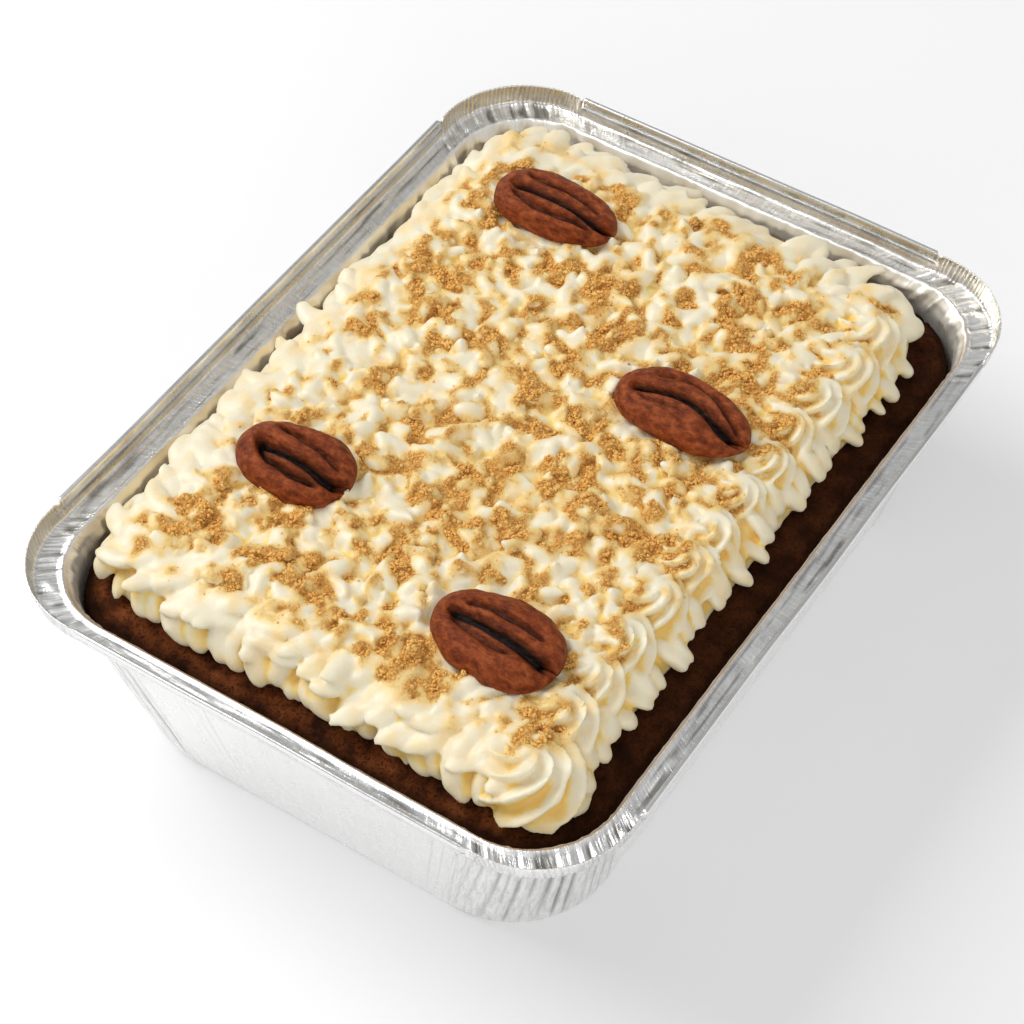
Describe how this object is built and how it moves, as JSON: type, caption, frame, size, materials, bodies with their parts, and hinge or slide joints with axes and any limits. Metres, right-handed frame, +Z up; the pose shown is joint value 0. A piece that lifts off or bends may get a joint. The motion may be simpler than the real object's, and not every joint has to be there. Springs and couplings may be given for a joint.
{
  "type": "carrot cake in foil tray",
  "caption": "Oblong frosted sponge cake with piped swirls, sugar crumbs and pecan halves, in its own foil tray with a pleated rim.",
  "frame": {"origin": "centre of the tray's base, on the surface it rests on", "axes": "+X along the short side, +Y along the long side, +Z up"},
  "size_m": [0.15, 0.2, 0.0659],
  "materials": {
    "foil": "thin bright aluminium foil, pressed and crimped",
    "sponge": null,
    "frosting": null,
    "pecan": null
  },
  "bodies": {
    "root": {"foil_tray": "foil", "cake": "sponge", "frosting": "frosting", "pecan_1": "pecan", "pecan_2": "pecan", "pecan_3": "pecan", "pecan_4": "pecan"}
  },
  "joints": []
}
